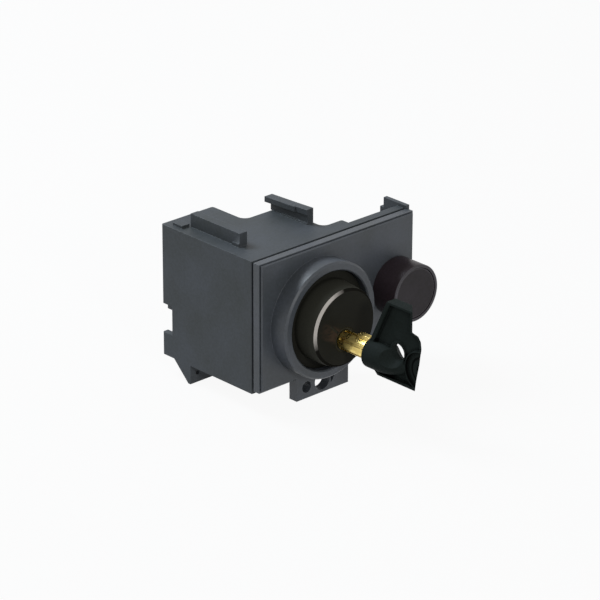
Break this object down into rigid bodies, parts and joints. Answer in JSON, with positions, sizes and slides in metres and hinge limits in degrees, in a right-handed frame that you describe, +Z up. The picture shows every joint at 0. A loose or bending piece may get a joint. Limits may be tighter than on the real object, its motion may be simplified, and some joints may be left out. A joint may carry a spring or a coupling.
{
  "type": "circuit breaker key lock",
  "caption": "Key lock set for a circuit breaker: slate housing with clips, foot and fixing lug, round barrel with tubular key in a collar ring, push button, side bolt.",
  "frame": {"origin": "centre of the fixing hole at the lug's front face", "axes": "+Z up, +Y back from the key towards the breaker, +X to the right as seen from the front"},
  "size_m": [0.0779, 0.1103, 0.0652],
  "materials": {
    "housing": "fine moulded grain",
    "cover": "satin moulded",
    "barrel": "satin black",
    "brass": "turned",
    "key_brass": "bright",
    "key_plastic": "satin moulded",
    "button_black": "gloss",
    "button_cap": "satin",
    "zinc_steel": "zinc plated",
    "bolt_steel": "ground",
    "spring_steel": "drawn wire"
  },
  "bodies": {
    "housing": {"rear_housing": "housing", "tail_box": "housing", "side_flange": "housing", "bolt_guide": "housing", "front_cover": "cover", "side_cover": "housing", "cover_screws": "zinc_steel", "side_cover_screws": "zinc_steel", "lock_barrel": "barrel", "barrel_washer": "zinc_steel", "barrel_nut": "brass", "pin_block": "zinc_steel", "driver_pins": "zinc_steel", "pin_springs": "spring_steel", "retaining_pin": "zinc_steel", "spindle_bush": "brass", "button_collar": "button_black", "collar_nut": "button_black", "button_spring": "spring_steel"},
    "spindle": {"lock_spindle": "brass", "key_pins": "brass", "drive_pinion": "zinc_steel", "pinion_washer": "zinc_steel", "pinion_screw": "zinc_steel"},
    "bolt": {"lock_bolt": "bolt_steel"},
    "key": {"key_shank": "key_brass", "key_bow": "key_plastic"},
    "button": {"push_button": "button_cap", "push_rod": "bolt_steel", "rod_clip": "spring_steel"}
  },
  "joints": [
    {"name": "spindle_turn", "type": "hinge", "parent": "housing", "child": "spindle", "pos_m": [0.0046, 0, 0.0225], "axis": [0, 1, 0], "range_deg": [0, 90]},
    {"name": "key_pull", "type": "slide", "parent": "spindle", "child": "key", "axis": [0, -1, 0], "range_m": [0, 0.009]},
    {"name": "bolt_slide", "type": "slide", "parent": "housing", "child": "bolt", "axis": [1, 0, 0], "range_m": [0, 0.00943]},
    {"name": "button_press", "type": "slide", "parent": "housing", "child": "button", "axis": [0, 1, 0], "range_m": [0, 0.003], "stiffness_N_per_m": 300, "springref_m": -0.002, "deforming": ["button_spring"]}
  ],
  "couplings": [
    {"joint": "bolt_slide", "follows": "spindle_turn", "m_per_rad": 0.006}
  ]
}
